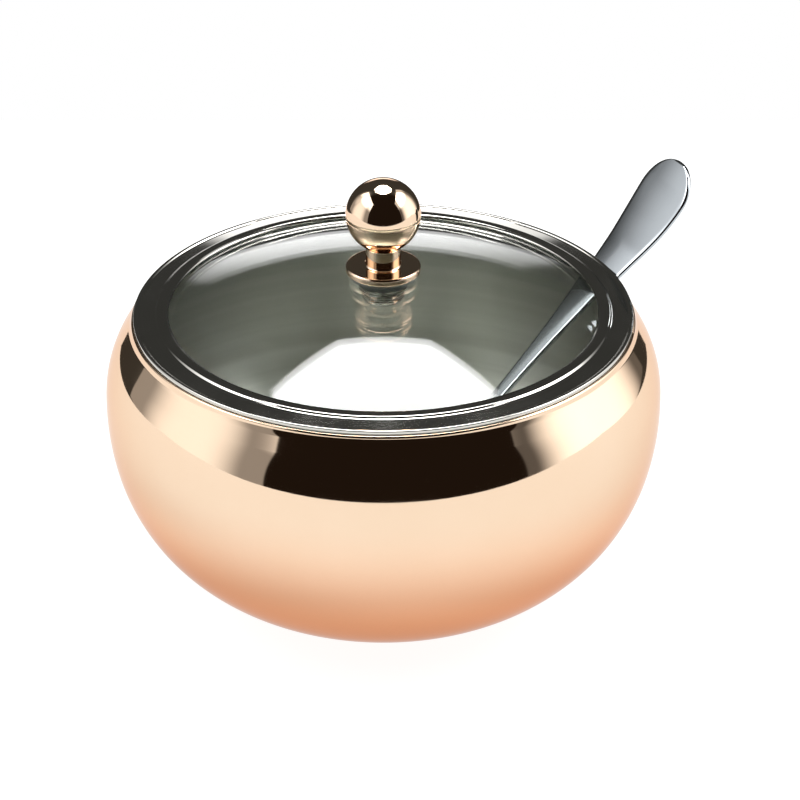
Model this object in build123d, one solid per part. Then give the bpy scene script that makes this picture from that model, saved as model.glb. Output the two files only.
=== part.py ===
from build123d import *
import os
from math import cos, sin, tan, radians, sqrt

# Sugar bowl with a glass lid and its spoon. Millimetres, +Z up. The origin is the centre of the flat
# base; +X points at the spoon notch in the bowl's lip. Bowl, lid and knob are turned about +Z.

# bowl: outside meridian is a flat base, three tangent arcs, a short cone and a hollow neck below the lip
wall = 0.8
base_radius = 15.5
belly_arcs = [(37.2, 75.3), (48.9, 17.1), (21.8, 28.6)]  # radius and turn of each arc, base upwards
neck_radius = 3.8
neck_turn = 23.0
lip_height = 56.9

# spoon notch in the lip: a shallow U, open at the top
notch_width = 12.0
notch_depth = 3.2
notch_corner = 1.6

# lid ring; its flange lies just clear of the lip
lid_height = 57.0
ring_radius = 47.5
opening_radius = 40.8
hem_height = 0.75
ring_sheet = 0.5
skirt_top_radius = 46.2
skirt_foot_radius = 44.6
skirt_drop = 4.1

# domed glass
glass_radius = 44.0
glass_thickness = 2.8
glass_apex = lid_height + 9.1
glass_at_opening = lid_height + 0.75
glass_hole_radius = 3.0

# knob
ball_radius = 7.15
ball_seam_step = 0.07
ball_rise = 12.0
stem_radius = 3.3
flange_radius = 7.1
flange_thickness = 1.4
knob_washer_thickness = 0.4

# screw stack under the glass (M4)
screw_radius = 2.0
screw_length = 10.0
head_radius = 4.0
head_height = 2.4
recess_span = 4.4
recess_width = 0.9
recess_depth = 1.4
seal_thickness = 0.8
washer_thickness = 0.8
washer_radius = 4.5

# spoon, measured along its handle from the point where it crosses the lip
crossing_radius = 48.0
crossing_height = 54.9
spoon_slope = 43.3
spoon_sheet = 1.0
handle_out = 26.5
curl_start = 6.0
curl_radius = 70.0
neck_run = 45.4
neck_bend_radius = 22.0
neck_bend = 15.0
handle_side = [  # distance outward along the handle, half width
    (-57.0, 4.6),
    (-50.0, 2.2),
    (-42.0, 1.7),
    (-30.0, 1.75),
    (-19.0, 2.3),
    (-7.5, 3.5),
    (5.0, 5.5),
    (14.0, 7.1),
    (19.0, 7.5),
]
scoop_rear = 20.0
scoop_front = 16.0
scoop_half_width = 11.5
scoop_depth = 6.2
scoop_sheet = 0.8

UPRIGHT = (Align.CENTER, Align.CENTER, Align.MIN)
dome_rise = glass_apex - glass_at_opening
dome_radius = (opening_radius**2 + dome_rise**2) / (2 * dome_rise)
dome_centre = glass_apex - dome_radius
glass_underside = glass_apex - glass_thickness


def turned(face):
    return revolve(face, axis=Axis.Z)


def tube(radius, bottom, top, bore=0.0):
    body = Pos(0, 0, bottom) * Cylinder(radius, top - bottom, align=UPRIGHT)
    if bore:
        body -= Pos(0, 0, bottom - 1) * Cylinder(bore, top - bottom + 2, align=UPRIGHT)
    return body


def bowl_meridian(inset, top):
    """Edges of the bowl's meridian, moved in by inset, from the axis up to the lip's round at height top."""
    edges = [Line((0, inset), (base_radius, inset))]
    centre_r = base_radius
    centre_z = belly_arcs[0][0]
    angle = -90.0
    for number, (radius, turn) in enumerate(belly_arcs):
        reach = radius - inset
        end = angle + turn
        points = [
            (centre_r + reach * cos(radians(a)), centre_z + reach * sin(radians(a)))
            for a in (angle, (angle + end) / 2, end)
        ]
        edges.append(ThreePointArc(*points))
        angle = end
        if number + 1 < len(belly_arcs):
            step = radius - belly_arcs[number + 1][0]
            centre_r += step * cos(radians(angle))
            centre_z += step * sin(radians(angle))
    cone_r, cone_z = points[-1]
    end = angle - neck_turn
    outer_foot_z = cone_z + inset * sin(radians(angle))
    neck_rise = neck_radius * (sin(radians(angle)) - sin(radians(end)))
    cone_rise = top - neck_rise - outer_foot_z
    neck_foot = (cone_r - cone_rise * tan(radians(angle)), cone_z + cone_rise)
    edges.append(Line((cone_r, cone_z), neck_foot))
    reach = neck_radius + inset
    centre_r = neck_foot[0] + reach * cos(radians(angle))
    centre_z = neck_foot[1] + reach * sin(radians(angle))
    points = [
        (centre_r - reach * cos(radians(a)), centre_z - reach * sin(radians(a)))
        for a in (angle, (angle + end) / 2, end)
    ]
    points[0] = neck_foot
    edges.append(ThreePointArc(*points))
    return edges, points[-1], end


def make_bowl():
    """Spun shell with a full-round lip and the U notch for the spoon."""
    outer, outer_end, tilt = bowl_meridian(0, lip_height - wall / 2)
    inner, inner_end, tilt = bowl_meridian(wall, lip_height - wall / 2)
    middle_r = (outer_end[0] + inner_end[0]) / 2 - wall / 2 * sin(radians(tilt))
    middle_z = (outer_end[1] + inner_end[1]) / 2 + wall / 2 * cos(radians(tilt))
    lip = ThreePointArc(outer_end, (middle_r, middle_z), inner_end)
    axis_edge = Line((0, wall), (0, 0))
    shell = turned(Plane.XZ * make_face(outer + [lip] + inner + [axis_edge]))
    notch = Rectangle(notch_width, 2 * notch_depth)
    notch = fillet(notch.vertices(), notch_corner)
    cutter = extrude(Plane.YZ.offset(40) * Pos(0, lip_height) * notch, 20)
    return shell - cutter


def make_lid_frame():
    """Pressed ring: rolled hem, coned flange, raised lip over the glass and a coned skirt."""
    skirt_foot = lid_height - skirt_drop
    section = Polyline(
        (ring_radius, lid_height),
        (ring_radius, lid_height + hem_height),
        (ring_radius - 0.6, lid_height + hem_height),
        (ring_radius - 0.9, lid_height + ring_sheet),
        (opening_radius + 2.6, lid_height + 1.05),
        (opening_radius + 2.2, lid_height + 1.4),
        (opening_radius + 0.5, lid_height + 1.55),
        (opening_radius, lid_height + 1.25),
        (opening_radius, lid_height + 0.9),
        (opening_radius + 2.4, lid_height + 0.55),
        (skirt_top_radius - ring_sheet, lid_height),
        (skirt_foot_radius - ring_sheet, skirt_foot),
        (skirt_foot_radius, skirt_foot),
        (skirt_top_radius, lid_height),
        close=True,
    )
    face = make_face(section)
    corners = [
        (ring_radius, lid_height + hem_height),
        (ring_radius - 0.6, lid_height + hem_height),
        (opening_radius + 0.5, lid_height + 1.55),
        (opening_radius, lid_height + 1.25),
    ]
    rounded = [v for v in face.vertices() if any(abs(v.X - r) + abs(v.Y - z) < 0.01 for r, z in corners)]
    face = fillet(rounded, 0.2)
    return turned(Plane.XZ * face)


def glass_lens(top_radius, radius, bore=0.0):
    """Part of the ball of radius top_radius round the dome's centre, inside a tube."""
    ball = Pos(0, 0, dome_centre) * Sphere(top_radius)
    return ball & tube(radius, lid_height - 6, glass_apex + 1, bore)


def make_lid_glass():
    outer = glass_lens(dome_radius, glass_radius, glass_hole_radius)
    return outer - Pos(0, 0, dome_centre) * Sphere(dome_radius - glass_thickness)


def make_glass_seal(frame, glass):
    """Bead that fills the channel between the ring and the edge of the glass."""
    channel = make_face(
        Polyline(
            (opening_radius + 0.4, lid_height + 1.0),
            (skirt_top_radius - 0.3, lid_height + 0.3),
            (skirt_foot_radius - 0.3, lid_height - skirt_drop + 0.3),
            (glass_radius - 0.9, lid_height - skirt_drop + 0.4),
            (opening_radius + 0.4, lid_height - 1.2),
            close=True,
        )
    )
    bead = turned(Plane.XZ * channel) - frame - glass
    solids = bead.solids().sort_by(lambda s: s.volume)
    return solids[-1]


def make_knob():
    """Ball on a stem and a flange; a seam runs round the ball, and the foot is tapped for the screw."""
    foot = glass_apex + knob_washer_thickness
    flange_top = foot + flange_thickness
    ball_z = glass_apex + ball_rise
    lower_radius = ball_radius - ball_seam_step
    neck_z = ball_z - sqrt(lower_radius**2 - stem_radius**2)
    slant = radians(-30)
    section = [
        Polyline((0, foot), (flange_radius, foot), (flange_radius, flange_top), (stem_radius, flange_top)),
        Line((stem_radius, flange_top), (stem_radius, neck_z)),
        ThreePointArc(
            (stem_radius, neck_z),
            (lower_radius * cos(slant), ball_z + lower_radius * sin(slant)),
            (lower_radius, ball_z),
        ),
        Line((lower_radius, ball_z), (ball_radius, ball_z)),
        ThreePointArc(
            (ball_radius, ball_z),
            (ball_radius * cos(-slant), ball_z + ball_radius * sin(-slant)),
            (0, ball_z + ball_radius),
        ),
        Line((0, ball_z + ball_radius), (0, foot)),
    ]
    face = make_face(section)
    flange_rim = [v for v in face.vertices() if abs(v.X - flange_radius) < 0.01]
    face = fillet(flange_rim, 0.45)
    stem_ends = [v for v in face.vertices() if abs(v.X - stem_radius) < 0.01]
    face = fillet(stem_ends, 0.5)
    tapped = tube(screw_radius, foot - 1, screw_seat() + screw_length + 0.5)
    return turned(Plane.XZ * face) - tapped


def screw_seat():
    return glass_underside - seal_thickness - washer_thickness


def make_knob_washer():
    disc = tube(flange_radius - 0.4, glass_apex - 1, glass_apex + knob_washer_thickness, screw_radius + 0.1)
    disc -= tube(glass_hole_radius, glass_apex - 2, glass_apex)
    return disc - Pos(0, 0, dome_centre) * Sphere(dome_radius)


def make_screw_seal():
    """Shoulder washer: a soft disc under the glass with a collar up into the hole."""
    below = glass_underside - seal_thickness
    disc = tube(washer_radius + 0.3, below, glass_underside + 0.1, screw_radius)
    disc &= Pos(0, 0, dome_centre) * Sphere(dome_radius - glass_thickness)
    collar = tube(glass_hole_radius - 0.05, below, glass_apex - 0.3, screw_radius)
    return disc + collar


def make_screw_washer():
    return tube(washer_radius, screw_seat(), glass_underside - seal_thickness, screw_radius + 0.15)


def make_knob_screw():
    """Pan-head screw with a cross recess."""
    seat = screw_seat()
    shank = tube(screw_radius, seat, seat + screw_length)
    head = tube(head_radius, seat - head_height, seat)
    rim = head.edges().filter_by(GeomType.CIRCLE).sort_by(Axis.Z)[0]
    head = fillet(rim, 1.0)
    slot = Box(recess_span, recess_width, recess_depth, align=UPRIGHT)
    cross = slot + Rot(0, 0, 90) * slot
    tip = chamfer(shank.edges().filter_by(GeomType.CIRCLE).sort_by(Axis.Z)[-1], 0.5)
    return (head + tip) - Pos(0, 0, seat - head_height) * cross


def handle_band():
    """Side view of the handle: a strip of even thickness, bent at the neck and curled at the end."""
    half = spoon_sheet / 2
    curl_angle = (handle_out - curl_start) / curl_radius
    neck_end = radians(neck_bend)
    inboard_run = 4.0

    def on_curl(angle, side):
        reach = curl_radius - side
        return (curl_start + reach * sin(angle), curl_radius - reach * cos(angle))

    def on_bend(angle, side):
        reach = neck_bend_radius - side
        return (-neck_run - reach * sin(angle), neck_bend_radius - reach * cos(angle))

    def inboard(side):
        x, z = on_bend(neck_end, side)
        return (x - inboard_run * cos(neck_end), z + inboard_run * sin(neck_end))

    edges = []
    for side in (half, -half):
        edges.append(Line(inboard(side), on_bend(neck_end, side)))
        edges.append(ThreePointArc(on_bend(neck_end, side), on_bend(neck_end / 2, side), (-neck_run, side)))
        edges.append(Line((-neck_run, side), (curl_start, side)))
        curl_middle = on_curl(curl_angle / 2, side)
        edges.append(ThreePointArc((curl_start, side), curl_middle, on_curl(curl_angle, side)))
    edges.append(Line(on_curl(curl_angle, half), on_curl(curl_angle, -half)))
    edges.append(Line(inboard(half), inboard(-half)))
    return extrude(Plane.XZ * make_face(edges), 20, both=True)


def handle_outline():
    """Plan of the handle: a narrow neck that flares into a broad rounded paddle."""
    tip = (handle_out - 0.3, 0)
    side = Spline(*handle_side, tangents=[(1, -0.5), (1, 0.05)])
    cap = Spline(handle_side[-1], tip, tangents=[(1, 0.05), (0, -1)])
    root = handle_side[0]
    half = make_face([side, cap, Line(tip, (root[0], 0)), Line((root[0], 0), root)])
    return Pos(0, 0, -30) * extrude(half + mirror(half, about=Plane.XZ), 60)


def half_egg(rear, front, width, depth):
    """Lower half of an egg: two quarter ellipsoids of different length, joined across the middle."""
    halves = []
    for length, sign in ((rear, 1), (front, -1)):
        ellipsoid = scale(Sphere(1), by=(length, width, depth))
        room = Pos(sign * 50, 0, -50) * Box(100, 100, 100)
        halves.append(ellipsoid & room)
    return halves[0] + halves[1]


def make_spoon():
    outer = half_egg(scoop_rear, scoop_front, scoop_half_width, scoop_depth)
    inner = half_egg(
        scoop_rear - scoop_sheet,
        scoop_front - scoop_sheet,
        scoop_half_width - scoop_sheet,
        scoop_depth - scoop_sheet,
    )
    bend = radians(neck_bend)
    neck_x = -neck_run - neck_bend_radius * sin(bend)
    neck_z = neck_bend_radius - neck_bend_radius * cos(bend)
    place = Pos(neck_x, 0, neck_z) * Rot(0, neck_bend, 0) * Pos(-scoop_rear - 1.5, 0, spoon_sheet / 2)
    handle = handle_band() & handle_outline()
    spoon = handle + place * outer - place * inner
    tilt = Pos(crossing_radius, 0, crossing_height) * Rot(0, -spoon_slope, 0)
    return tilt * spoon


bowl_body = make_bowl()
lid_frame = make_lid_frame()
lid_glass = make_lid_glass()
glass_seal = make_glass_seal(lid_frame, lid_glass)
nodes = {
    "bowl_body": bowl_body,
    "lid_frame": lid_frame,
    "lid_glass": lid_glass,
    "glass_seal": glass_seal,
    "knob": make_knob(),
    "knob_washer": make_knob_washer(),
    "screw_seal": make_screw_seal(),
    "screw_washer": make_screw_washer(),
    "knob_screw": make_knob_screw(),
    "spoon": make_spoon(),
}
os.makedirs("parts", exist_ok=True)
for name, shape in nodes.items():
    export_step(shape, f"parts/{name}.step")
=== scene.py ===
from math import acos, cos, hypot, pi, radians, sin, sqrt, tan

import bpy
import numpy as np
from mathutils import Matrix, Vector


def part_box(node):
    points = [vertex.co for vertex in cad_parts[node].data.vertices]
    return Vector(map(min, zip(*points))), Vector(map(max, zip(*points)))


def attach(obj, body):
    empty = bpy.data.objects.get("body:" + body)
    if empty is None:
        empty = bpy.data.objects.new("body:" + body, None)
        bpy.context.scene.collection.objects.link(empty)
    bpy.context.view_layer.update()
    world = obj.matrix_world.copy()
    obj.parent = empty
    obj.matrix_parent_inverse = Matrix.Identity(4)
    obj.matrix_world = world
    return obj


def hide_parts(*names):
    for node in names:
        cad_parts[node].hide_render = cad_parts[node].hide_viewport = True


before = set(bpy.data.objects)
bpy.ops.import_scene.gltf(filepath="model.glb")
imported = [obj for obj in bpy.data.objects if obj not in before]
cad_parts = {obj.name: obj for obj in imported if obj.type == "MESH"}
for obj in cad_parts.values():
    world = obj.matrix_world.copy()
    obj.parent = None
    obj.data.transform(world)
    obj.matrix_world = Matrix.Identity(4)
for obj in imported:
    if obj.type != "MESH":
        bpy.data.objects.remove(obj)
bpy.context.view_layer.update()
MM = 0.001

# The bowl: one stainless steel shell, spun to shape over a former, its lip rolled round and a shallow U
# cut in it for the spoon. The outside is polished to a mirror and given a rose gold vapour coating; the
# inside is left as bare steel, brushed while it turned.


def add(tree, kind, inputs=None, **settings):
    """One node with its settings. An input is either a socket to link from or a value to set."""
    node = tree.nodes.new(kind)
    for key, value in settings.items():
        setattr(node, key, value)
    for key, value in (inputs or {}).items():
        if isinstance(value, bpy.types.NodeSocket):
            tree.links.new(value, node.inputs[key])
        else:
            node.inputs[key].default_value = value
    return node


def linear(code):
    """A linear colour from an sRGB hex code."""
    parts = [int(code[i : i + 2], 16) / 255 for i in (0, 2, 4)]
    return [c / 12.92 if c <= 0.04045 else ((c + 0.055) / 1.055) ** 2.4 for c in parts] + [1.0]


def new_material(name):
    material = bpy.data.materials.new(name)
    material.use_nodes = True
    material.node_tree.nodes.clear()
    return material, material.node_tree


# Rose gold PVD on polished stainless steel. The coating is a fraction of a micron thick, so it copies the
# polish below it: a hard mirror, very slightly wavy from spinning, with a faint haze of wiping marks.
rose_gold, tree = new_material("rose gold vapour coating, mirror polished")
place = add(tree, "ShaderNodeTexCoord").outputs["Object"]
split = add(tree, "ShaderNodeSeparateXYZ", {0: place})
reach = add(tree, "ShaderNodeVectorMath", {0: place, 1: (1, 1, 0)}, operation="MULTIPLY")
radius = add(tree, "ShaderNodeVectorMath", {0: reach.outputs[0]}, operation="LENGTH").outputs["Value"]
turning = add(tree, "ShaderNodeCombineXYZ", {"X": radius, "Y": split.outputs["Z"]}).outputs[0]
ripple = add(tree, "ShaderNodeTexNoise", {"Vector": turning, "Scale": 140.0, "Detail": 2.0})
haze = add(tree, "ShaderNodeTexNoise", {"Vector": place, "Scale": 60.0, "Detail": 5.0, "Roughness": 0.6})
scratch_map = add(
    tree, "ShaderNodeMapping", {"Vector": place, "Rotation": (0.5, 0.3, 0.9), "Scale": (1, 1, 14)}
)
scratch = add(tree, "ShaderNodeTexNoise", {"Vector": scratch_map.outputs[0], "Scale": 420.0, "Detail": 3.0})
rough = add(
    tree,
    "ShaderNodeMapRange",
    {"Value": haze.outputs["Fac"], "From Min": 0.3, "From Max": 0.75, "To Min": 0.025, "To Max": 0.07},
)
tone = add(
    tree,
    "ShaderNodeMix",
    {0: haze.outputs["Fac"], 6: linear("F9DFC4"), 7: linear("F5D8BB")},
    data_type="RGBA",
)
# Painted reflection: a deeper orange on the lowest 40 mm stands in for copper light bounced back by the
# table.
depth = add(
    tree,
    "ShaderNodeMapRange",
    {"Value": split.outputs["Z"], "From Min": 0.042, "From Max": 0.012},
    interpolation_type="SMOOTHSTEP",
)
# Mixes in the painted reflected orange by the height mask above.
tone = add(
    tree,
    "ShaderNodeMix",
    {0: depth.outputs[0], 6: tone.outputs[2], 7: linear("F8B083")},
    data_type="RGBA",
)
waves = add(
    tree,
    "ShaderNodeBump",
    {"Strength": 0.25, "Distance": 0.00002, "Height": ripple.outputs["Fac"]},
)
marks = add(
    tree,
    "ShaderNodeBump",
    {"Strength": 0.08, "Distance": 0.000004, "Height": scratch.outputs["Fac"], "Normal": waves.outputs[0]},
)
shader = add(
    tree,
    "ShaderNodeBsdfPrincipled",
    {
        "Base Color": tone.outputs[2],
        "Metallic": 1.0,
        "Roughness": rough.outputs[0],
        "Specular Tint": linear("F5E3D8"),
        "Normal": marks.outputs[0],
    },
)
add(tree, "ShaderNodeOutputMaterial", {"Surface": shader.outputs[0]})

# 18/10 stainless steel, brushed inside while the bowl turned: fine rings round the axis that spread each
# highlight across them. Real grit leaves lines of about 0.05 mm; these are 0.4 mm, to show.
brushed_steel, tree = new_material("stainless steel, brushed in the round")
place = add(tree, "ShaderNodeTexCoord").outputs["Object"]
split = add(tree, "ShaderNodeSeparateXYZ", {0: place})
reach = add(tree, "ShaderNodeVectorMath", {0: place, 1: (1, 1, 0)}, operation="MULTIPLY")
radius = add(tree, "ShaderNodeVectorMath", {0: reach.outputs[0]}, operation="LENGTH").outputs["Value"]
bearing = add(tree, "ShaderNodeVectorMath", {0: reach.outputs[0]}, operation="NORMALIZE")
bearing = add(tree, "ShaderNodeVectorMath", {0: bearing.outputs[0], "Scale": 0.00028}, operation="SCALE")
height_only = add(tree, "ShaderNodeCombineXYZ", {"X": radius, "Y": radius, "Z": split.outputs["Z"]})
grain_place = add(tree, "ShaderNodeVectorMath", {0: bearing.outputs[0], 1: height_only.outputs[0]})
grain = add(tree, "ShaderNodeTexNoise", {"Vector": grain_place.outputs[0], "Scale": 2500.0, "Detail": 4.0})
band = add(tree, "ShaderNodeTexNoise", {"Vector": grain_place.outputs[0], "Scale": 300.0, "Detail": 2.0})
rough = add(
    tree,
    "ShaderNodeMapRange",
    {"Value": grain.outputs["Fac"], "From Min": 0.3, "From Max": 0.7, "To Min": 0.38, "To Max": 0.48},
)
tone = add(
    tree,
    "ShaderNodeMix",
    {0: band.outputs["Fac"], 6: linear("B9BAB0"), 7: linear("EBECE4")},
    data_type="RGBA",
)
round_axis = add(tree, "ShaderNodeTangent", direction_type="RADIAL", axis="Z")
grooves = add(
    tree,
    "ShaderNodeBump",
    {"Strength": 0.3, "Distance": 0.00002, "Height": grain.outputs["Fac"]},
)
shader = add(
    tree,
    "ShaderNodeBsdfPrincipled",
    {
        "Base Color": tone.outputs[2],
        "Metallic": 1.0,
        "Roughness": rough.outputs[0],
        "Anisotropic": 0.8,
        "Anisotropic Rotation": 0.25,
        "Tangent": round_axis.outputs[0],
        "Normal": grooves.outputs[0],
    },
)
add(tree, "ShaderNodeOutputMaterial", {"Surface": shader.outputs[0]})

# The lathe: turns a meridian, given as a curve in the XZ plane, about +Z. Faces that look at the point
# Middle get the second finish.
lathe = bpy.data.node_groups.new("turned about the axis", "GeometryNodeTree")
lathe.interface.new_socket("Turned", in_out="OUTPUT", socket_type="NodeSocketGeometry")
for name, kind in (
    ("Meridian", "NodeSocketGeometry"),
    ("Columns", "NodeSocketInt"),
    ("Outside", "NodeSocketMaterial"),
    ("Inside", "NodeSocketMaterial"),
    ("Middle", "NodeSocketVector"),
):
    lathe.interface.new_socket(name, in_out="INPUT", socket_type=kind)
given = add(lathe, "NodeGroupInput").outputs
rows = add(
    lathe, "GeometryNodeAttributeDomainSize", {0: given["Meridian"]}, component="CURVE"
).outputs["Point Count"]
column_count = add(lathe, "ShaderNodeMath", {0: given["Columns"], 1: 1.0}, operation="ADD")
sheet = add(
    lathe, "GeometryNodeMeshGrid", {"Vertices X": column_count.outputs[0], "Vertices Y": rows}
).outputs["Mesh"]
index = add(lathe, "GeometryNodeInputIndex").outputs[0]
row = add(lathe, "ShaderNodeMath", {0: index, 1: rows}, operation="FLOORED_MODULO").outputs[0]
column_share = add(lathe, "ShaderNodeMath", {0: index, 1: rows}, operation="DIVIDE")
column = add(lathe, "ShaderNodeMath", {0: column_share.outputs[0]}, operation="FLOOR").outputs[0]
turn = add(lathe, "ShaderNodeMath", {0: column, 1: given["Columns"]}, operation="DIVIDE").outputs[0]
angle = add(lathe, "ShaderNodeMath", {0: turn, 1: 2 * pi}, operation="MULTIPLY").outputs[0]
where = add(lathe, "GeometryNodeInputPosition").outputs[0]
on_meridian = add(
    lathe,
    "GeometryNodeSampleIndex",
    {"Geometry": given["Meridian"], "Value": where, "Index": row},
    data_type="FLOAT_VECTOR",
    domain="POINT",
).outputs[0]
swung = add(
    lathe, "ShaderNodeVectorRotate", {"Vector": on_meridian, "Angle": angle}, rotation_type="Z_AXIS"
).outputs[0]
turned = add(lathe, "GeometryNodeSetPosition", {"Geometry": sheet, "Position": swung})
closed = add(lathe, "GeometryNodeMergeByDistance", {"Geometry": turned.outputs[0], "Distance": 0.000001})
smooth = add(lathe, "GeometryNodeSetShadeSmooth", {0: closed.outputs[0]})
whole = add(lathe, "GeometryNodeRealizeInstances", {0: smooth.outputs[0]})
normal = add(lathe, "GeometryNodeInputNormal").outputs[0]
to_middle = add(lathe, "ShaderNodeVectorMath", {0: given["Middle"], 1: where}, operation="SUBTRACT")
facing = add(lathe, "ShaderNodeVectorMath", {0: normal, 1: to_middle.outputs[0]}, operation="DOT_PRODUCT")
looks_in = add(lathe, "FunctionNodeCompare", {0: facing.outputs["Value"], 1: 0.0}, operation="GREATER_THAN")
coated = add(lathe, "GeometryNodeSetMaterial", {0: whole.outputs[0], "Material": given["Outside"]})
lined = add(
    lathe,
    "GeometryNodeSetMaterial",
    {0: coated.outputs[0], "Selection": looks_in.outputs[0], "Material": given["Inside"]},
)
add(lathe, "NodeGroupOutput", {0: lined.outputs[0]})

# The notch: shears a rounded U out of a lip at +X, and keeps its edges crisp.
notcher = bpy.data.node_groups.new("notch in a lip", "GeometryNodeTree")
notcher.interface.new_socket("Notched", in_out="OUTPUT", socket_type="NodeSocketGeometry")
for name, kind in (
    ("Turned", "NodeSocketGeometry"),
    ("Width", "NodeSocketFloat"),
    ("Depth", "NodeSocketFloat"),
    ("Corner", "NodeSocketFloat"),
    ("Lip Height", "NodeSocketFloat"),
    ("Start", "NodeSocketFloat"),
    ("Reach", "NodeSocketFloat"),
    ("Cut Edge", "NodeSocketMaterial"),
):
    notcher.interface.new_socket(name, in_out="INPUT", socket_type=kind)
given = add(notcher, "NodeGroupInput").outputs
twice = add(notcher, "ShaderNodeMath", {0: given["Depth"], 1: 2.0}, operation="MULTIPLY").outputs[0]
outline = add(notcher, "GeometryNodeCurvePrimitiveQuadrilateral", {0: given["Width"], 1: twice})
soft_outline = add(
    notcher,
    "GeometryNodeFilletCurve",
    {"Curve": outline.outputs[0], "Radius": given["Corner"], "Count": 10},
    mode="POLY",
)
face = add(notcher, "GeometryNodeFillCurve", {"Curve": soft_outline.outputs[0]}, mode="NGONS")
tool = add(
    notcher,
    "GeometryNodeExtrudeMesh",
    {"Mesh": face.outputs[0], "Offset": (0, 0, 1), "Offset Scale": given["Reach"], "Individual": False},
)
base = add(notcher, "GeometryNodeFlipFaces", {"Mesh": face.outputs[0]})
parts = add(notcher, "GeometryNodeJoinGeometry", {0: tool.outputs[0]})
notcher.links.new(base.outputs[0], parts.inputs[0])
tool = add(notcher, "GeometryNodeMergeByDistance", {"Geometry": parts.outputs[0], "Distance": 0.000001})
tool = add(notcher, "GeometryNodeSetMaterial", {0: tool.outputs[0], "Material": given["Cut Edge"]})
spot = add(notcher, "ShaderNodeCombineXYZ", {"X": given["Start"], "Z": given["Lip Height"]})
tool = add(
    notcher,
    "GeometryNodeTransform",
    {"Geometry": tool.outputs[0], "Translation": spot.outputs[0], "Rotation": (pi / 2, 0, pi / 2)},
)
cut = add(
    notcher,
    "GeometryNodeMeshBoolean",
    {"Mesh 1": given["Turned"], "Mesh 2": tool.outputs[0]},
    operation="DIFFERENCE",
    solver="EXACT",
)
bend = add(notcher, "GeometryNodeInputMeshEdgeAngle").outputs[0]
crisp_bend = radians(40)
crisp = add(notcher, "FunctionNodeCompare", {0: bend, 1: crisp_bend}, operation="GREATER_THAN")
rolled = add(notcher, "GeometryNodeSetShadeSmooth", {0: cut.outputs[0]})
edged = add(
    notcher,
    "GeometryNodeSetShadeSmooth",
    {0: rolled.outputs[0], "Selection": crisp.outputs[0], "Shade Smooth": False},
    domain="EDGE",
)
whole = add(notcher, "GeometryNodeRealizeInstances", {0: edged.outputs[0]})
add(notcher, "NodeGroupOutput", {0: whole.outputs[0]})


def arc_points(centre, reach, start, end, step=2.0):
    """Points on an arc from one angle to another, in degrees, about a centre in the XZ plane."""
    count = max(2, int(abs(end - start) / step) + 1)
    return [
        (centre[0] + reach * cos(radians(a)), centre[1] + reach * sin(radians(a)))
        for a in np.linspace(start, end, count)
    ]


def run_points(start, end, step):
    """Points along a straight run, with one close to each end to hold the shading flat."""
    length = hypot(end[0] - start[0], end[1] - start[1])
    near = min(0.04, length / 4) / length
    shares = [0.0, near, *np.linspace(0, 1, max(2, int(length / step) + 1))[1:-1], 1 - near, 1.0]
    return [(start[0] + (end[0] - start[0]) * t, start[1] + (end[1] - start[1]) * t) for t in shares]


def modify(thing, tree, **values):
    """Adds a Geometry Nodes modifier and sets its inputs by identifier."""
    modifier = thing.modifiers.new(tree.name, "NODES")
    modifier.node_group = tree
    for item in tree.interface.items_tree:
        if item.in_out == "INPUT" and item.name in values:
            modifier[item.identifier] = values[item.name]


def settle(thing, name):
    """The plain mesh object that the modifiers give; the thing they sat on is removed."""
    bpy.context.view_layer.update()
    graph = bpy.context.evaluated_depsgraph_get()
    mesh = bpy.data.meshes.new_from_object(thing.evaluated_get(graph), depsgraph=graph)
    mesh.name = name
    if mesh.materials[0] is None:
        finishes = [m for m in mesh.materials if m]
        picks = [p.material_index - 1 for p in mesh.polygons]
        mesh.materials.clear()
        for finish in finishes:
            mesh.materials.append(finish)
        mesh.polygons.foreach_set("material_index", picks)
    piece = bpy.data.objects.new(name, mesh)
    bpy.context.scene.collection.objects.link(piece)
    bpy.data.objects.remove(thing)
    return piece


def meridian(name, points):
    """A poly curve through points given in mm in the XZ plane, run so that its turned faces point out."""
    area = sum(a[0] * b[1] - b[0] * a[1] for a, b in zip(points, points[1:] + points[:1]))
    if area < 0:
        points = points[::-1]
    kept = [points[0]]
    for point in points[1:]:
        if hypot(point[0] - kept[-1][0], point[1] - kept[-1][1]) > 0.002:
            kept.append(point)
    curve = bpy.data.curves.new(name, "CURVE")
    curve.dimensions = "3D"
    spline = curve.splines.new("POLY")
    spline.points.add(len(kept) - 1)
    for dot, (r, z) in zip(spline.points, kept):
        dot.co = (r * MM, 0, z * MM, 1)
    thing = bpy.data.objects.new(name, curve)
    bpy.context.scene.collection.objects.link(thing)
    return thing


wall = 0.8
base_radius = 15.5
belly_arcs = [(37.2, 75.3), (48.9, 17.1), (21.8, 28.6)]  # radius and turn of each, base upwards
neck_radius = 3.8
neck_turn = 23.0
lip_height = 56.9
lip_foot = lip_height - wall / 2
notch_width = 12.0
notch_depth = 3.2
notch_corner = 1.6
notch_start = 40.0
notch_reach = 20.0


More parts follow.
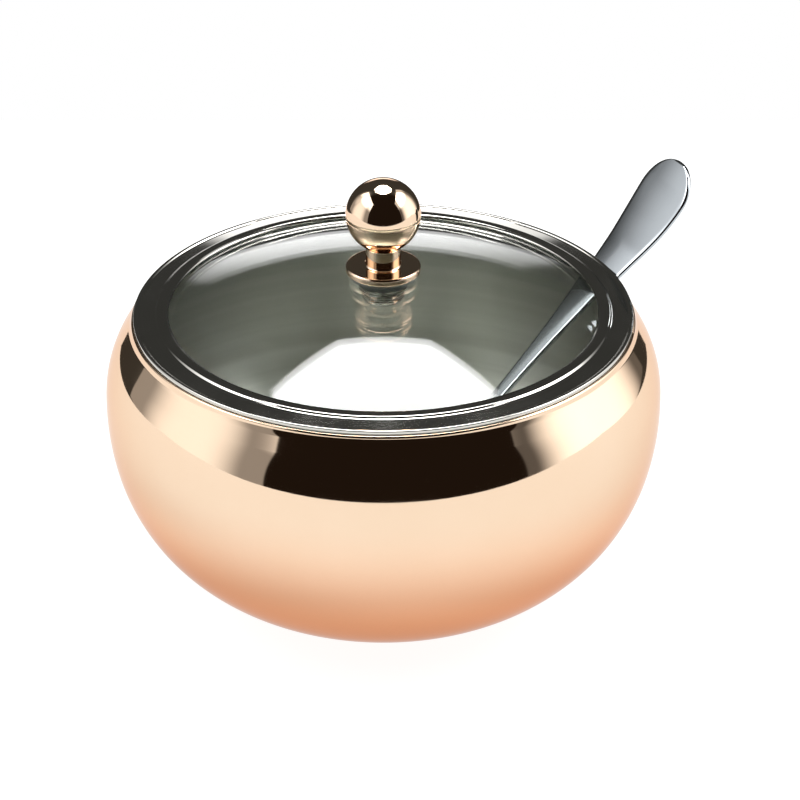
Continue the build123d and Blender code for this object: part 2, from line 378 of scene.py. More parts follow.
def bowl_side(inset):
    """The bowl's meridian moved in by inset, from the axis to the foot of the lip's round."""
    points = run_points((0, inset), (base_radius, inset), 2.0)
    centre = (base_radius, belly_arcs[0][0])
    angle = -90.0
    for number, (radius, turn) in enumerate(belly_arcs):
        points += arc_points(centre, radius - inset, angle, angle + turn, 1.6)[1:]
        angle += turn
        if number + 1 < len(belly_arcs):
            step = radius - belly_arcs[number + 1][0]
            centre = (centre[0] + step * cos(radians(angle)), centre[1] + step * sin(radians(angle)))
    cone = points[-1]
    end = angle - neck_turn
    neck_rise = neck_radius * (sin(radians(angle)) - sin(radians(end)))
    cone_rise = lip_foot - neck_rise - (cone[1] + inset * sin(radians(angle)))
    neck = (cone[0] - cone_rise * tan(radians(angle)), cone[1] + cone_rise)
    points += run_points(cone, neck, 0.8)[1:]
    reach = neck_radius + inset
    centre = (neck[0] + reach * cos(radians(angle)), neck[1] + reach * sin(radians(angle)))
    return points + arc_points(centre, -reach, angle, end, 2.0)[1:], end


outer, lip_tilt = bowl_side(0.0)
inner, _ = bowl_side(wall)
lip_middle = ((outer[-1][0] + inner[-1][0]) / 2, (outer[-1][1] + inner[-1][1]) / 2)
lip = arc_points(lip_middle, wall / 2, lip_tilt, lip_tilt + 180, 15)
bowl = meridian("bowl meridian", outer + lip[1:-1] + inner[::-1])
modify(
    bowl,
    lathe,
    **{
        "Columns": 300,
        "Outside": rose_gold,
        "Inside": brushed_steel,
        "Middle": (0.0, 0.0, 0.045),
    },
)
modify(
    bowl,
    notcher,
    **{
        "Width": notch_width * MM,
        "Depth": notch_depth * MM,
        "Corner": notch_corner * MM,
        "Lip Height": lip_height * MM,
        "Start": notch_start * MM,
        "Reach": notch_reach * MM,
        "Cut Edge": brushed_steel,
    },
)
bowl = settle(bowl, "bowl_shell")
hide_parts("bowl_body")
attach(bowl, "bowl")

# The spoon: blanked from 1 mm stainless steel strip and pressed, all in one. A long thin neck widens to
# a broad rounded handle that curls up past the lip, and runs down inside to an oval scoop.

# 18/10 stainless steel, drum polished: a mirror whose fine marks run every way, dulled a little by use.
polished_steel, tree = new_material("stainless steel, drum polished")
place = add(tree, "ShaderNodeTexCoord").outputs["Object"]
haze = add(tree, "ShaderNodeTexNoise", {"Vector": place, "Scale": 90.0, "Detail": 5.0, "Roughness": 0.6})
along = add(
    tree, "ShaderNodeMapping", {"Vector": place, "Rotation": (0, radians(43), 0), "Scale": (0.08, 1, 1)}
)
scratch = add(tree, "ShaderNodeTexNoise", {"Vector": along.outputs[0], "Scale": 2200.0, "Detail": 3.0})
rough = add(
    tree,
    "ShaderNodeMapRange",
    {"Value": haze.outputs["Fac"], "From Min": 0.3, "From Max": 0.7, "To Min": 0.05, "To Max": 0.11},
)
tone = add(
    tree,
    "ShaderNodeMix",
    {0: haze.outputs["Fac"], 6: linear("CFD5DA"), 7: linear("C3C9CE")},
    data_type="RGBA",
)
marks = add(
    tree,
    "ShaderNodeBump",
    {"Strength": 0.3, "Distance": 0.000005, "Height": scratch.outputs["Fac"]},
)
shader = add(
    tree,
    "ShaderNodeBsdfPrincipled",
    {
        "Base Color": tone.outputs[2],
        "Metallic": 1.0,
        "Roughness": rough.outputs[0],
        "Normal": marks.outputs[0],
    },
)
add(tree, "ShaderNodeOutputMaterial", {"Surface": shader.outputs[0]})

crossing = (48.0, 54.9)
slope = radians(43.3)
spoon_sheet = 1.0
curl_start = 6.0
curl_radius = 70.0
handle_tip = 26.2
handle_broad = 19.0
neck_run = 45.4
neck_bend_radius = 22.0
neck_bend = radians(15)
scoop_start = 1.5
scoop_rear = 20.0
scoop_front = 16.0
scoop_half_width = 11.5
scoop_depth = 5.6
handle_side = [
    (-60.0, 1.9),
    (-50.0, 1.8),
    (-42.0, 1.7),
    (-30.0, 1.75),
    (-19.0, 2.3),
    (-7.5, 3.5),
    (5.0, 5.5),
    (14.0, 7.1),
    (19.0, 7.5),
]


def handle_half_width(along):
    """Half width of the handle, eased between the given places, rounded off at the outer end."""
    if along > handle_broad:
        share = (along - handle_broad) / (handle_tip - handle_broad)
        return handle_side[-1][1] * sqrt(max(0.0, 1 - share**2))
    xs = np.array([x for x, _ in handle_side])
    ws = np.array([w for _, w in handle_side])
    slopes = np.gradient(ws, xs)
    slopes[-1] = 0.0
    k = min(max(int(np.searchsorted(xs, along)) - 1, 0), len(xs) - 2)
    span = xs[k + 1] - xs[k]
    t = (along - xs[k]) / span
    return (
        (2 * t**3 - 3 * t**2 + 1) * ws[k]
        + (t**3 - 2 * t**2 + t) * span * slopes[k]
        + (-2 * t**3 + 3 * t**2) * ws[k + 1]
        + (t**3 - t**2) * span * slopes[k + 1]
    )


def spoon_station(along):
    """Point, turn, half width and depth of dish of the spoon at a length along it."""
    bend_length = neck_bend_radius * neck_bend
    if along > curl_start:
        angle = (along - curl_start) / curl_radius
        point = (curl_start + curl_radius * sin(angle), curl_radius - curl_radius * cos(angle))
        return point, angle, handle_half_width(min(point[0], handle_tip)), 0.0
    if along > -neck_run:
        return (along, 0.0), 0.0, handle_half_width(along), 0.0
    past = -neck_run - along
    if past < bend_length:
        angle = past / neck_bend_radius
        point = (-neck_run - neck_bend_radius * sin(angle), neck_bend_radius * (1 - cos(angle)))
        return point, -angle, handle_half_width(point[0]), 0.0
    run = past - bend_length
    neck_end = (-neck_run - neck_bend_radius * sin(neck_bend), neck_bend_radius * (1 - cos(neck_bend)))
    point = (neck_end[0] - run * cos(neck_bend), neck_end[1] + run * sin(neck_bend))
    middle = scoop_start + scoop_rear
    if run < middle:
        share = min(1.0, (middle - run) / scoop_rear)
        egg = scoop_half_width * sqrt(max(0.0, 1 - share**2))
        dish = scoop_depth * (0.5 + 0.5 * cos(pi * (middle - run) / middle)) ** 0.8
    else:
        share = (run - middle) / scoop_front
        egg = scoop_half_width * sqrt(max(0.0, 1 - share**2))
        dish = scoop_depth * (1 - share**2) ** 0.75
    neck = 1.8 if run < middle else 0.0
    return point, -neck_bend, (egg**4 + neck**4) ** 0.25, dish


def spoon_section(along):
    """The closed section of the spoon at a length along it, as points in metres."""
    (x, z), angle, half, dish = spoon_station(along)
    from_tip = min(along - scoop_tip, tip_along - along)
    thick = spoon_sheet / 2
    thick *= sqrt(1 - max(0.0, 1 - from_tip / thick) ** 2)
    reach = min(spoon_sheet / 2, 0.9 * half)
    flat = half - reach
    right_round = np.linspace(pi / 2, -pi / 2, 9)[1:-1]
    outline = [(flat * share, thick) for share in face_shares]
    outline += [(flat + reach * cos(a), thick * sin(a)) for a in right_round]
    outline += [(flat * share, -thick) for share in face_shares[::-1]]
    outline += [(-flat - reach * cos(a), thick * sin(a)) for a in right_round[::-1]]
    crown = 0.0 if dish else handle_crown * min(1.0, half / 7.0) ** 2
    points = []
    for y, up in outline:
        lift = up + (crown - dish) * (1 - (y / half) ** 2) ** (0.85 if dish else 1.0)
        px = x - lift * sin(angle)
        pz = z + lift * cos(angle)
        wx = crossing[0] + px * cos(slope) - pz * sin(slope)
        wz = crossing[1] + px * sin(slope) + pz * cos(slope)
        points.append((wx * MM, y * MM, wz * MM))
    return points


handle_crown = 0.35
face_shares = np.linspace(-1, 1, 19)
bend_length = neck_bend_radius * neck_bend
scoop_tip = -neck_run - bend_length - scoop_start - scoop_rear - scoop_front
tip_along = curl_start + curl_radius * np.arcsin((handle_tip - curl_start) / curl_radius)
handle_cap = handle_broad + 0.3
ease = np.sin(np.linspace(0, pi / 2, 40))
stations = np.concatenate(
    [
        scoop_tip + scoop_front * (1 - ease)[::-1][1:-1],
        np.linspace(scoop_tip + scoop_front, -neck_run - bend_length - scoop_start - 2.5, 30),
        np.linspace(-neck_run - bend_length - scoop_start - 2.0, -neck_run - bend_length, 12),
        np.linspace(-neck_run - bend_length, curl_start, 60)[1:],
        np.linspace(curl_start, handle_cap, 20)[1:],
        handle_cap + (tip_along - handle_cap) * ease[1:-1],
    ]
)
rings = [spoon_section(float(along)) for along in stations]
size = len(rings[0])
corners = [point for ring in rings for point in ring]
faces = [
    (k * size + j, (k + 1) * size + j, (k + 1) * size + (j + 1) % size, k * size + (j + 1) % size)
    for k in range(len(rings) - 1)
    for j in range(size)
]
for first, tip in ((0, 0), (len(rings) - 1, 1)):
    middle = len(corners)
    corners.append(tuple(np.mean(rings[first], axis=0)))
    for j in range(size):
        pair = (first * size + j, first * size + (j + 1) % size)
        faces.append((middle, *pair) if tip == 0 else (middle, *pair[::-1]))
mesh = bpy.data.meshes.new("spoon_pressing")
mesh.from_pydata(corners, [], faces)
mesh.polygons.foreach_set("use_smooth", [True] * len(mesh.polygons))
mesh.materials.append(polished_steel)
spoon = bpy.data.objects.new("spoon_pressing", mesh)
bpy.context.scene.collection.objects.link(spoon)
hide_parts("spoon")
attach(spoon, "spoon")

# The lid's glass: a round of float glass sagged over a mould to a shallow dome, drilled in the middle,
# its edge ground round, then toughened. It sits in the ring on a soft bead.

# Toughened soda-lime glass, polished by the fire: clear, greener through its edge, with faint wiping
# marks that only show where a light is mirrored in it.
clear_glass, tree = new_material("toughened glass, sagged")
place = add(tree, "ShaderNodeTexCoord").outputs["Object"]
smear = add(tree, "ShaderNodeTexNoise", {"Vector": place, "Scale": 45.0, "Detail": 4.0, "Roughness": 0.6})
flow = add(tree, "ShaderNodeTexNoise", {"Vector": place, "Scale": 70.0, "Detail": 1.0})
rough = add(
    tree,
    "ShaderNodeMapRange",
    {"Value": smear.outputs["Fac"], "From Min": 0.5, "From Max": 0.9, "To Min": 0.0, "To Max": 0.03},
)
waves = add(
    tree,
    "ShaderNodeBump",
    {"Strength": 0.1, "Distance": 0.00002, "Height": flow.outputs["Fac"]},
)
shader = add(
    tree,
    "ShaderNodeBsdfPrincipled",
    {
        "Base Color": linear("FDFFFD"),
        "Roughness": rough.outputs[0],
        "IOR": 1.52,
        "Transmission Weight": 1.0,
        "Normal": waves.outputs[0],
    },
)
add(tree, "ShaderNodeOutputMaterial", {"Surface": shader.outputs[0]})

skirt_drop = 4.1
ring_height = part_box("lid_frame")[0].z / MM + skirt_drop
opening_radius = 40.8
glass_radius = 44.0
glass_thickness = 2.8
glass_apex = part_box("lid_glass")[1].z / MM
dome_rise = glass_apex - (ring_height + 0.75)
dome_radius = (opening_radius**2 + dome_rise**2) / (2 * dome_rise)
dome_centre = (0.0, glass_apex - dome_radius)
ground_edge = 0.7


def rounded(corners, cuts, step=1.5, closed=False):
    """A line through corners in the XZ plane, each rounded by its cut, with holding points by the rounds."""
    count = len(corners)
    pieces = []
    for k in range(count):
        here = np.array(corners[k], float)
        if not closed and k in (0, count - 1) or cuts[k] == 0:
            pieces.append([tuple(here)])
            continue
        before = np.array(corners[k - 1], float) - here
        after = np.array(corners[(k + 1) % count], float) - here
        before_length, after_length = np.linalg.norm(before), np.linalg.norm(after)
        before, after = before / before_length, after / after_length
        half = acos(max(-1.0, min(1.0, float(before @ after)))) / 2
        cut = min(cuts[k] / tan(half), 0.48 * before_length, 0.48 * after_length)
        reach = cut * tan(half)
        middle = here + (before + after) / np.linalg.norm(before + after) * (reach / sin(half))
        start, end = here + before * cut - middle, here + after * cut - middle
        turns = max(3, int((180 - 2 * half * 180 / pi) / 12) + 1)
        arc = []
        for t in np.linspace(0, 1, turns + 1):
            spread = acos(max(-1.0, min(1.0, float(start @ end) / reach**2)))
            mix = (sin((1 - t) * spread) * start + sin(t * spread) * end) / sin(spread)
            arc.append(tuple(middle + mix))
        pieces.append(arc)
    line = list(pieces[0])
    for piece in pieces[1:] + ([pieces[0]] if closed else []):
        line += run_points(line[-1], piece[0], step)[1:]
        line += piece[1:] if not (closed and piece is pieces[0]) else []
    return line


def on_dome(radius, reach):
    """Height of the dome's sphere of that reach at a distance from the axis."""
    return dome_centre[1] + sqrt(reach**2 - radius**2)


hole_radius = 3.0
inner_reach = dome_radius - glass_thickness
ground_bore = 0.3
reaches = np.linspace(hole_radius + ground_bore, glass_radius - ground_edge, 60)
top_line = [(r, on_dome(r, dome_radius)) for r in reaches]
low_line = [(r, on_dome(r, inner_reach)) for r in reaches[::-1]]
rim_top = (glass_radius, on_dome(glass_radius, dome_radius))
rim_low = (glass_radius, on_dome(glass_radius, inner_reach))
hole_top = (hole_radius, on_dome(hole_radius, dome_radius))
hole_low = (hole_radius, on_dome(hole_radius, inner_reach))
edge = rounded([top_line[-1], rim_top, rim_low, low_line[0]], [0, 0.9, 0.9, 0], 0.4)
bore = rounded([low_line[-1], hole_low, hole_top, top_line[0]], [0, 0.3, 0.3, 0], 0.4)
glass = meridian("glass meridian", top_line + edge[1:-1] + low_line + bore[1:])
modify(glass, lathe, **{"Columns": 240, "Outside": clear_glass, "Inside": clear_glass})
glass = settle(glass, "glass_dome")
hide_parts("lid_glass")
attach(glass, "lid")

# The seal between glass and ring: one bead of clear silicone, poured into the gap and cured there, which
# holds the glass by itself.

# Clear silicone rubber, cured in place: milky where it is thick, soft gloss, with small trapped bubbles.
silicone, tree = new_material("clear silicone, poured")
place = add(tree, "ShaderNodeTexCoord").outputs["Object"]
cloud = add(tree, "ShaderNodeTexNoise", {"Vector": place, "Scale": 500.0, "Detail": 4.0})
tone = add(
    tree,
    "ShaderNodeMix",
    {0: cloud.outputs["Fac"], 6: linear("8F958C"), 7: linear("C6CBC4")},
    data_type="RGBA",
)
rough = add(
    tree,
    "ShaderNodeMapRange",
    {"Value": cloud.outputs["Fac"], "From Min": 0.3, "From Max": 0.7, "To Min": 0.3, "To Max": 0.5},
)
skin = add(
    tree,
    "ShaderNodeBump",
    {"Strength": 0.3, "Distance": 0.00005, "Height": cloud.outputs["Fac"]},
)
shader = add(
    tree,
    "ShaderNodeBsdfPrincipled",
    {
        "Base Color": tone.outputs[2],
        "Roughness": rough.outputs[0],
        "IOR": 1.41,
        "Transmission Weight": 0.45,
        "Normal": skin.outputs[0],
    },
)
add(tree, "ShaderNodeOutputMaterial", {"Surface": shader.outputs[0]})
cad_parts["glass_seal"].data.materials.clear()
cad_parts["glass_seal"].data.materials.append(silicone)

# The lid's ring: pressed from 0.5 mm stainless steel sheet, its outer edge hemmed, its inner edge raised
# over the glass, with a skirt that drops inside the bowl's lip. Polished on a wheel.

# 18/10 stainless steel, wheel polished: bright, with hair-fine rings left by the wheel, 0.3 mm apart.
ring_steel, tree = new_material("stainless steel, wheel polished")
place = add(tree, "ShaderNodeTexCoord").outputs["Object"]
reach = add(tree, "ShaderNodeVectorMath", {0: place, 1: (1, 1, 0)}, operation="MULTIPLY")
radius = add(tree, "ShaderNodeVectorMath", {0: reach.outputs[0]}, operation="LENGTH").outputs["Value"]
split = add(tree, "ShaderNodeSeparateXYZ", {0: place})
turning = add(tree, "ShaderNodeCombineXYZ", {"X": radius, "Y": split.outputs["Z"]}).outputs[0]
lines = add(tree, "ShaderNodeTexNoise", {"Vector": turning, "Scale": 3300.0, "Detail": 3.0})
haze = add(tree, "ShaderNodeTexNoise", {"Vector": place, "Scale": 120.0, "Detail": 4.0})
rough = add(
    tree,
    "ShaderNodeMapRange",
    {"Value": haze.outputs["Fac"], "From Min": 0.3, "From Max": 0.7, "To Min": 0.05, "To Max": 0.1},
)
tone = add(
    tree,
    "ShaderNodeMix",
    {0: lines.outputs["Fac"], 6: linear("CFCCC5"), 7: linear("DAD8D2")},
    data_type="RGBA",
)
marks = add(
    tree,
    "ShaderNodeBump",
    {"Strength": 0.2, "Distance": 0.000005, "Height": lines.outputs["Fac"]},
)
shader = add(
    tree,
    "ShaderNodeBsdfPrincipled",
    {
        "Base Color": tone.outputs[2],
        "Metallic": 1.0,
        "Roughness": rough.outputs[0],
        "Normal": marks.outputs[0],
    },
)
add(tree, "ShaderNodeOutputMaterial", {"Surface": shader.outputs[0]})

ring_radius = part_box("lid_frame")[1].x / MM
hem_height = 0.75
ring_sheet = 0.5
skirt_top_radius = 46.2
skirt_foot_radius = 44.6
skirt_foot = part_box("lid_frame")[0].z / MM
ring_section = [
    ((ring_radius, ring_height), 0.15),
    ((ring_radius, ring_height + hem_height), 0.25),
    ((ring_radius - 0.6, ring_height + hem_height), 0.25),
    ((ring_radius - 0.9, ring_height + ring_sheet), 0.2),
    ((opening_radius + 2.6, ring_height + 1.05), 0.5),
    ((opening_radius + 2.2, ring_height + 1.4), 0.4),
    ((opening_radius + 0.5, ring_height + 1.55), 0.3),
    ((opening_radius, ring_height + 1.25), 0.25),
    ((opening_radius, ring_height + 0.9), 0.15),
    ((opening_radius + 2.4, ring_height + 0.55), 0.3),
    ((skirt_top_radius - ring_sheet, ring_height), 0.3),
    ((skirt_foot_radius - ring_sheet, skirt_foot), 0.2),
    ((skirt_foot_radius, skirt_foot), 0.2),
    ((skirt_top_radius, ring_height), 0.2),
]
line = rounded([p for p, _ in ring_section], [c for _, c in ring_section], 1.0, closed=True)
ring = meridian("ring meridian", line)
modify(ring, lathe, **{"Columns": 360, "Outside": ring_steel, "Inside": ring_steel})
ring = settle(ring, "lid_ring")
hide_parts("lid_frame")
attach(ring, "lid")

# The knob: turned from a steel bar in one piece, a ball on a stem on a flat foot, coated like the bowl. A
# fine line runs round the ball where two cuts met. It is tapped from below for the screw.
ball_radius = 7.15
ball_seam_step = 0.07
stem_radius = 3.3
flange_radius = 7.1
flange_thickness = 1.4
washer_thickness = 0.4
ball_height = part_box("knob")[1].z / MM - ball_radius
foot = glass_apex + washer_thickness
tapped_radius = 2.0
soft_washer = 0.8
plain_washer = 0.8
tapped_depth = 10.5
tapped_top = glass_apex - glass_thickness - soft_washer - plain_washer + tapped_depth
lower_radius = ball_radius - ball_seam_step
neck_angle = -acos(stem_radius / lower_radius) * 180 / pi
lower_ball = arc_points((0, ball_height), lower_radius, neck_angle + 6, 0, 3)
upper_ball = arc_points((0, ball_height), ball_radius, 0, 90, 3)
knob_line = rounded(
    [
        (0, tapped_top),
        (tapped_radius, tapped_top),
        (tapped_radius, foot),
        (flange_radius, foot),
        (flange_radius, foot + flange_thickness),
        (stem_radius, foot + flange_thickness),
        (stem_radius, ball_height - sqrt(lower_radius**2 - stem_radius**2)),
        lower_ball[0],
    ],
    [0, 0.1, 0.2, 0.3, 0.45, 0.5, 0.6, 0],
    0.7,
)
seam = [(lower_radius, ball_height), (ball_radius - 0.02, ball_height + 0.03)]
knob = meridian("knob meridian", knob_line + lower_ball[1:] + seam + upper_ball[1:])
modify(knob, lathe, **{"Columns": 160, "Outside": rose_gold, "Inside": rose_gold})
knob = settle(knob, "knob_turning")
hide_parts("knob")
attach(knob, "lid")

# What holds the knob: an M4 pan-head screw from below with a plain washer, a soft shoulder washer that
# keeps it off the glass, and a thin clear washer under the knob's foot. The washers are punched from sheet.

# 18/8 stainless steel, as headed and stamped: a grey sheen with turning rings 0.2 mm apart.
screw_steel, tree = new_material("stainless steel, cold headed")
place = add(tree, "ShaderNodeTexCoord").outputs["Object"]
reach = add(tree, "ShaderNodeVectorMath", {0: place, 1: (1, 1, 0)}, operation="MULTIPLY")
radius = add(tree, "ShaderNodeVectorMath", {0: reach.outputs[0]}, operation="LENGTH").outputs["Value"]
split = add(tree, "ShaderNodeSeparateXYZ", {0: place})
turning = add(tree, "ShaderNodeCombineXYZ", {"X": radius, "Y": split.outputs["Z"]}).outputs[0]
lines = add(tree, "ShaderNodeTexNoise", {"Vector": turning, "Scale": 5000.0, "Detail": 2.0})
rough = add(
    tree,
    "ShaderNodeMapRange",
    {"Value": lines.outputs["Fac"], "From Min": 0.3, "From Max": 0.7, "To Min": 0.2, "To Max": 0.34},
)
tone = add(
    tree,
    "ShaderNodeMix",
    {0: lines.outputs["Fac"], 6: linear("A9A7A2"), 7: linear("C4C2BD")},
    data_type="RGBA",
)
marks = add(
    tree,
    "ShaderNodeBump",
    {"Strength": 0.3, "Distance": 0.00002, "Height": lines.outputs["Fac"]},
)
shader = add(
    tree,
    "ShaderNodeBsdfPrincipled",
    {
        "Base Color": tone.outputs[2],
        "Metallic": 1.0,
        "Roughness": rough.outputs[0],
        "Normal": marks.outputs[0],
    },
)
add(tree, "ShaderNodeOutputMaterial", {"Surface": shader.outputs[0]})
for node, finish in (
    ("knob_screw", screw_steel),
    ("screw_washer", screw_steel),
    ("knob_washer", silicone),
    ("screw_seal", silicone),
):
    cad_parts[node].data.materials.clear()
    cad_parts[node].data.materials.append(finish)

# Not part of the object: a plain white table, and a dark room with two tall soft lights at the sides, an
# eight-sided one overhead and a low strip behind.
table_paint, tree = new_material("white table, matt paint")
place = add(tree, "ShaderNodeTexCoord").outputs["Object"]
grain = add(tree, "ShaderNodeTexNoise", {"Vector": place, "Scale": 900.0, "Detail": 3.0})
tone = add(
    tree,
    "ShaderNodeMix",
    {0: grain.outputs["Fac"], 6: linear("838382"), 7: linear("888887")},
    data_type="RGBA",
)
shader = add(
    tree,
    "ShaderNodeBsdfPrincipled",
    {
        "Base Color": tone.outputs[2],
        "Roughness": 0.9,
        "Specular IOR Level": 0.1,
    },
)
# The painted board is brighter to the lens than to the pieces on it, as paper behind a product is.
lift = add(tree, "ShaderNodeEmission", {"Color": (1, 1, 1, 1), "Strength": 0.92})
seen = add(tree, "ShaderNodeLightPath").outputs["Is Camera Ray"]
glow = add(tree, "ShaderNodeEmission", {"Color": (1, 1, 1, 1), "Strength": 0.63})
lift = add(tree, "ShaderNodeMixShader", {0: seen, 1: glow.outputs[0], 2: lift.outputs[0]})
lit = add(tree, "ShaderNodeAddShader", {0: shader.outputs[0], 1: lift.outputs[0]})
add(tree, "ShaderNodeOutputMaterial", {"Surface": lit.outputs[0]})
view_azimuth = radians(-27.46)
view_elevation = radians(28.24)
table_front, table_side, table_back = 0.5, 2.0, 0.212
ahead = Vector((sin(view_azimuth), -cos(view_azimuth), 0))
right = Vector((cos(view_azimuth), sin(view_azimuth), 0))
mesh = bpy.data.meshes.new("table")
table_corners = [
    ahead * along + right * side
    for along, side in (
        (table_front, -table_side),
        (table_front, table_side),
        (-table_back, table_side),
        (-table_back, -table_side),
    )
]
mesh.from_pydata(table_corners, [], [(0, 1, 2, 3)])
mesh.materials.append(table_paint)
table = bpy.data.objects.new("table", mesh)
bpy.context.scene.collection.objects.link(table)

soft_light = bpy.data.node_groups.new("soft light", "ShaderNodeTree")
soft_light.interface.new_socket("Light", in_out="OUTPUT", socket_type="NodeSocketFloat")
for name, kind in (
    ("Direction", "NodeSocketVector"),
    ("Towards", "NodeSocketVector"),
    ("Sideways", "NodeSocketVector"),
    ("Upwards", "NodeSocketVector"),
    ("Half Width", "NodeSocketFloat"),
    ("Half Height", "NodeSocketFloat"),
    ("Corner", "NodeSocketFloat"),
    ("Rise", "NodeSocketFloat"),
    ("Edge Share", "NodeSocketFloat"),
    ("Glow Height", "NodeSocketFloat"),
    ("Glow Drop", "NodeSocketFloat"),
    ("Glow Size", "NodeSocketFloat"),
    ("Top Gain", "NodeSocketFloat"),
):
    soft_light.interface.new_socket(name, in_out="INPUT", socket_type=kind)
given = add(soft_light, "NodeGroupInput").outputs
ahead = add(
    soft_light, "ShaderNodeVectorMath", {0: given["Direction"], 1: given["Towards"]}, operation="DOT_PRODUCT"
).outputs["Value"]
side = add(
    soft_light, "ShaderNodeVectorMath", {0: given["Direction"], 1: given["Sideways"]}, operation="DOT_PRODUCT"
).outputs["Value"]
high = add(
    soft_light, "ShaderNodeVectorMath", {0: given["Direction"], 1: given["Upwards"]}, operation="DOT_PRODUCT"
).outputs["Value"]
ahead_kept = add(soft_light, "ShaderNodeMath", {0: ahead, 1: 0.02}, operation="MAXIMUM").outputs[0]
u = add(soft_light, "ShaderNodeMath", {0: side, 1: ahead_kept}, operation="DIVIDE").outputs[0]
v_raw = add(soft_light, "ShaderNodeMath", {0: high, 1: ahead_kept}, operation="DIVIDE").outputs[0]
v = add(soft_light, "ShaderNodeMath", {0: v_raw, 1: given["Rise"]}, operation="SUBTRACT").outputs[0]
u = add(soft_light, "ShaderNodeMath", {0: u}, operation="ABSOLUTE").outputs[0]
v = add(soft_light, "ShaderNodeMath", {0: v}, operation="ABSOLUTE").outputs[0]
spare_u = add(soft_light, "ShaderNodeMath", {0: given["Half Width"], 1: u}, operation="SUBTRACT").outputs[0]
spare_v = add(soft_light, "ShaderNodeMath", {0: given["Half Height"], 1: v}, operation="SUBTRACT").outputs[0]
both = add(soft_light, "ShaderNodeMath", {0: u, 1: v}, operation="ADD").outputs[0]
spare_corner = add(
    soft_light, "ShaderNodeMath", {0: given["Corner"], 1: both}, operation="SUBTRACT"
).outputs[0]
spare = add(soft_light, "ShaderNodeMath", {0: spare_u, 1: spare_v}, operation="MINIMUM").outputs[0]
spare = add(soft_light, "ShaderNodeMath", {0: spare, 1: spare_corner}, operation="MINIMUM").outputs[0]
spare = add(soft_light, "ShaderNodeMath", {0: spare, 1: ahead}, operation="MINIMUM").outputs[0]
edge = add(
    soft_light,
    "ShaderNodeMapRange",
    {"Value": spare, "From Min": 0.0, "From Max": 0.03},
    interpolation_type="SMOOTHSTEP",
).outputs[0]
off_u = add(soft_light, "ShaderNodeMath", {0: u, 1: 2.0}, operation="POWER").outputs[0]
off_v = add(
    soft_light, "ShaderNodeMath", {0: v_raw, 1: given["Glow Height"]}, operation="SUBTRACT"
).outputs[0]
off_v = add(soft_light, "ShaderNodeMath", {0: off_v, 1: 2.0}, operation="POWER").outputs[0]
off_v = add(soft_light, "ShaderNodeMath", {0: off_v, 1: given["Glow Drop"]}, operation="MULTIPLY").outputs[0]
off = add(soft_light, "ShaderNodeMath", {0: off_u, 1: off_v}, operation="ADD").outputs[0]
glow = add(
    soft_light,
    "ShaderNodeMapRange",
    {"Value": off, "From Max": given["Glow Size"], "To Min": 1.0, "To Max": given["Edge Share"]},
    interpolation_type="SMOOTHSTEP",
).outputs[0]
gain = add(
    soft_light,
    "ShaderNodeMapRange",
    {"Value": v_raw, "From Min": 0.55, "From Max": 1.0, "To Min": 1.0, "To Max": given["Top Gain"]},
    interpolation_type="SMOOTHSTEP",
).outputs[0]
light = add(soft_light, "ShaderNodeMath", {0: edge, 1: glow}, operation="MULTIPLY").outputs[0]
light = add(soft_light, "ShaderNodeMath", {0: light, 1: gain}, operation="MULTIPLY")
add(soft_light, "NodeGroupOutput", {0: light.outputs[0]})

world = bpy.data.worlds.new("studio")
bpy.context.scene.world = world
world.use_nodes = True
room = world.node_tree
room.nodes.clear()
direction = add(room, "ShaderNodeTexCoord").outputs["Generated"]
direction = add(
    room, "ShaderNodeMapping", {"Vector": direction, "Rotation": (0, 0, -view_azimuth)}
).outputs[0]
lights = []
tall = {"Half Height": 0.85, "Corner": 9.0, "Rise": 0.7, "Glow Drop": 0.12, "Top Gain": 7.0}
left_light = {**tall, "Half Width": 0.81, "Edge Share": 0.25, "Glow Height": 0.08, "Glow Size": 0.3}
right_light = {**tall, "Half Width": 0.84, "Edge Share": 0.06, "Glow Height": 0.12, "Glow Size": 0.5}
eight_sided = {"Half Width": 0.34, "Half Height": 0.34, "Corner": 0.46, "Edge Share": 0.9, "Glow Size": 0.3}
eight_sided |= {"Rise": 0.0, "Glow Height": 0.0, "Glow Drop": 1.0, "Top Gain": 1.0}
low_strip = {"Half Width": 0.25, "Half Height": 0.13, "Corner": 9.0, "Edge Share": 0.3, "Glow Size": 0.06}
low_strip |= {"Rise": 0.0, "Glow Height": 0.0, "Glow Drop": 0.5, "Top Gain": 1.0}
for bearing, lean, strength, shape in (
    (-86.0, 0.0, 1.25, left_light),
    (98.0, 0.0, 1.7, right_light),
    (180.0, 69.8, 10.5, eight_sided),
    (182.0, 5.0, 1.7, low_strip),
):
    turn, lift = radians(bearing), radians(lean)
    facing = {
        "Direction": direction,
        "Towards": (sin(turn) * cos(lift), -cos(turn) * cos(lift), sin(lift)),
        "Sideways": (cos(turn), sin(turn), 0),
        "Upwards": (-sin(turn) * sin(lift), cos(turn) * sin(lift), cos(lift)),
    }
    group = add(room, "ShaderNodeGroup", {**facing, **shape}, node_tree=soft_light)
    scaled = add(room, "ShaderNodeMath", {0: group.outputs[0], 1: strength}, operation="MULTIPLY")
    lights.append(scaled.outputs[0])
total = lights[0]
for light in lights[1:]:
    total = add(room, "ShaderNodeMath", {0: total, 1: light}, operation="ADD").outputs[0]
axes = add(room, "ShaderNodeSeparateXYZ", {0: direction}).outputs
sideways = add(room, "ShaderNodeMath", {0: axes["X"]}, operation="ABSOLUTE").outputs[0]
behind = add(room, "ShaderNodeMath", {0: axes["Y"], 1: sideways}, operation="DIVIDE").outputs[0]
spill = add(
    room,
    "ShaderNodeMapRange",
    {"Value": behind, "From Min": 0.3, "From Max": 0.92, "To Min": 0.9, "To Max": 0.0},
    interpolation_type="SMOOTHSTEP",
).outputs[0]
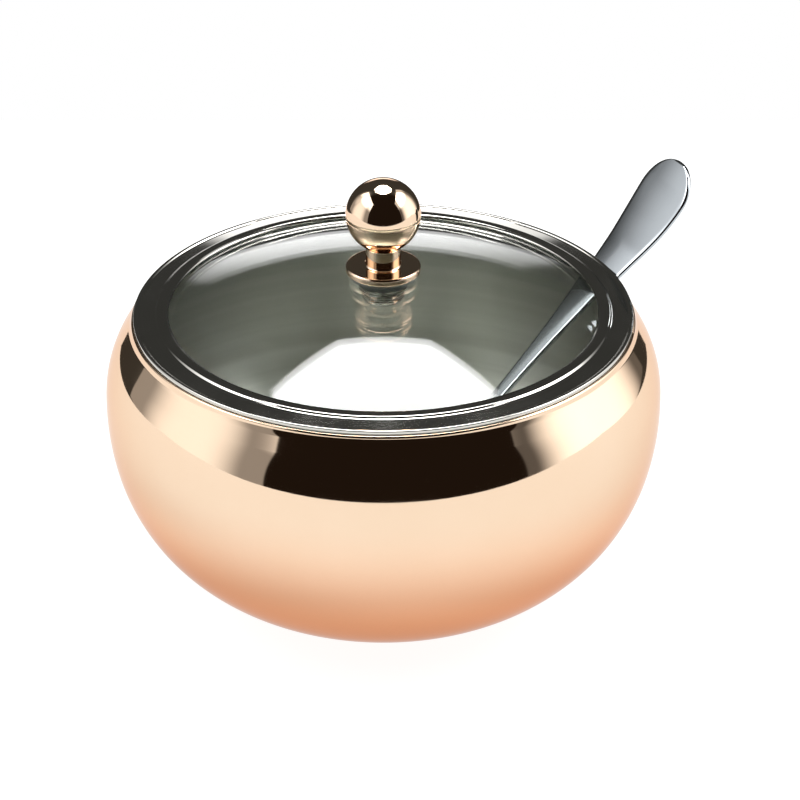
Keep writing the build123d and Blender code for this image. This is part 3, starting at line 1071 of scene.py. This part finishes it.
not_ahead = add(
    room,
    "ShaderNodeMapRange",
    {"Value": axes["Y"], "From Min": 0.0, "From Max": 0.2},
    interpolation_type="SMOOTHSTEP",
).outputs[0]
below_top = add(
    room,
    "ShaderNodeMapRange",
    {"Value": axes["Z"], "From Min": 0.9, "From Max": 0.6},
    interpolation_type="SMOOTHSTEP",
).outputs[0]
above_floor = add(
    room,
    "ShaderNodeMapRange",
    {"Value": axes["Z"], "From Min": -0.05, "From Max": 0.4},
    interpolation_type="SMOOTHSTEP",
).outputs[0]
for limit in (not_ahead, below_top, above_floor):
    spill = add(room, "ShaderNodeMath", {0: spill, 1: limit}, operation="MULTIPLY").outputs[0]
total = add(room, "ShaderNodeMath", {0: total, 1: spill}, operation="MAXIMUM").outputs[0]
wall_dark = add(
    room,
    "ShaderNodeMix",
    {0: not_ahead, 6: linear("1E1712"), 7: linear("3C3C3A")},
    data_type="RGBA",
).outputs[2]
dark = add(room, "ShaderNodeMix", {0: total, 6: wall_dark, 7: (1, 1, 1, 1)}, data_type="RGBA")
dark.clamp_factor = False
studio = add(room, "ShaderNodeBackground", {"Color": dark.outputs[2], "Strength": 1.0})
paper = add(room, "ShaderNodeBackground", {"Color": (1, 1, 1, 1), "Strength": 1.0})
seen = add(room, "ShaderNodeLightPath").outputs["Is Camera Ray"]
mixed = add(room, "ShaderNodeMixShader", {0: seen, 1: studio.outputs[0], 2: paper.outputs[0]})
add(room, "ShaderNodeOutputWorld", {"Surface": mixed.outputs[0]})

# Camera: 28 degrees above the table and 27 degrees round from the front, with a long lens.
back = Vector((sin(view_azimuth), -cos(view_azimuth), 0)) * cos(view_elevation)
back.z = sin(view_elevation)
up = back.cross(right)
aim_height, aim_right, aim_down, camera_distance = 0.057, 0.00316, 0.01613, 0.855
target = Vector((0, 0, aim_height)) + right * aim_right - up * aim_down
camera = bpy.data.objects.new("camera", bpy.data.cameras.new("camera"))
camera.data.lens = 202.5
camera.data.sensor_width = 36.0
camera.data.clip_end = 20.0
camera.location = target + back * camera_distance
camera.rotation_euler = back.to_track_quat("Z", "Y").to_euler()
bpy.context.scene.collection.objects.link(camera)
bpy.context.scene.camera = camera
bpy.context.scene.view_settings.view_transform = "Standard"
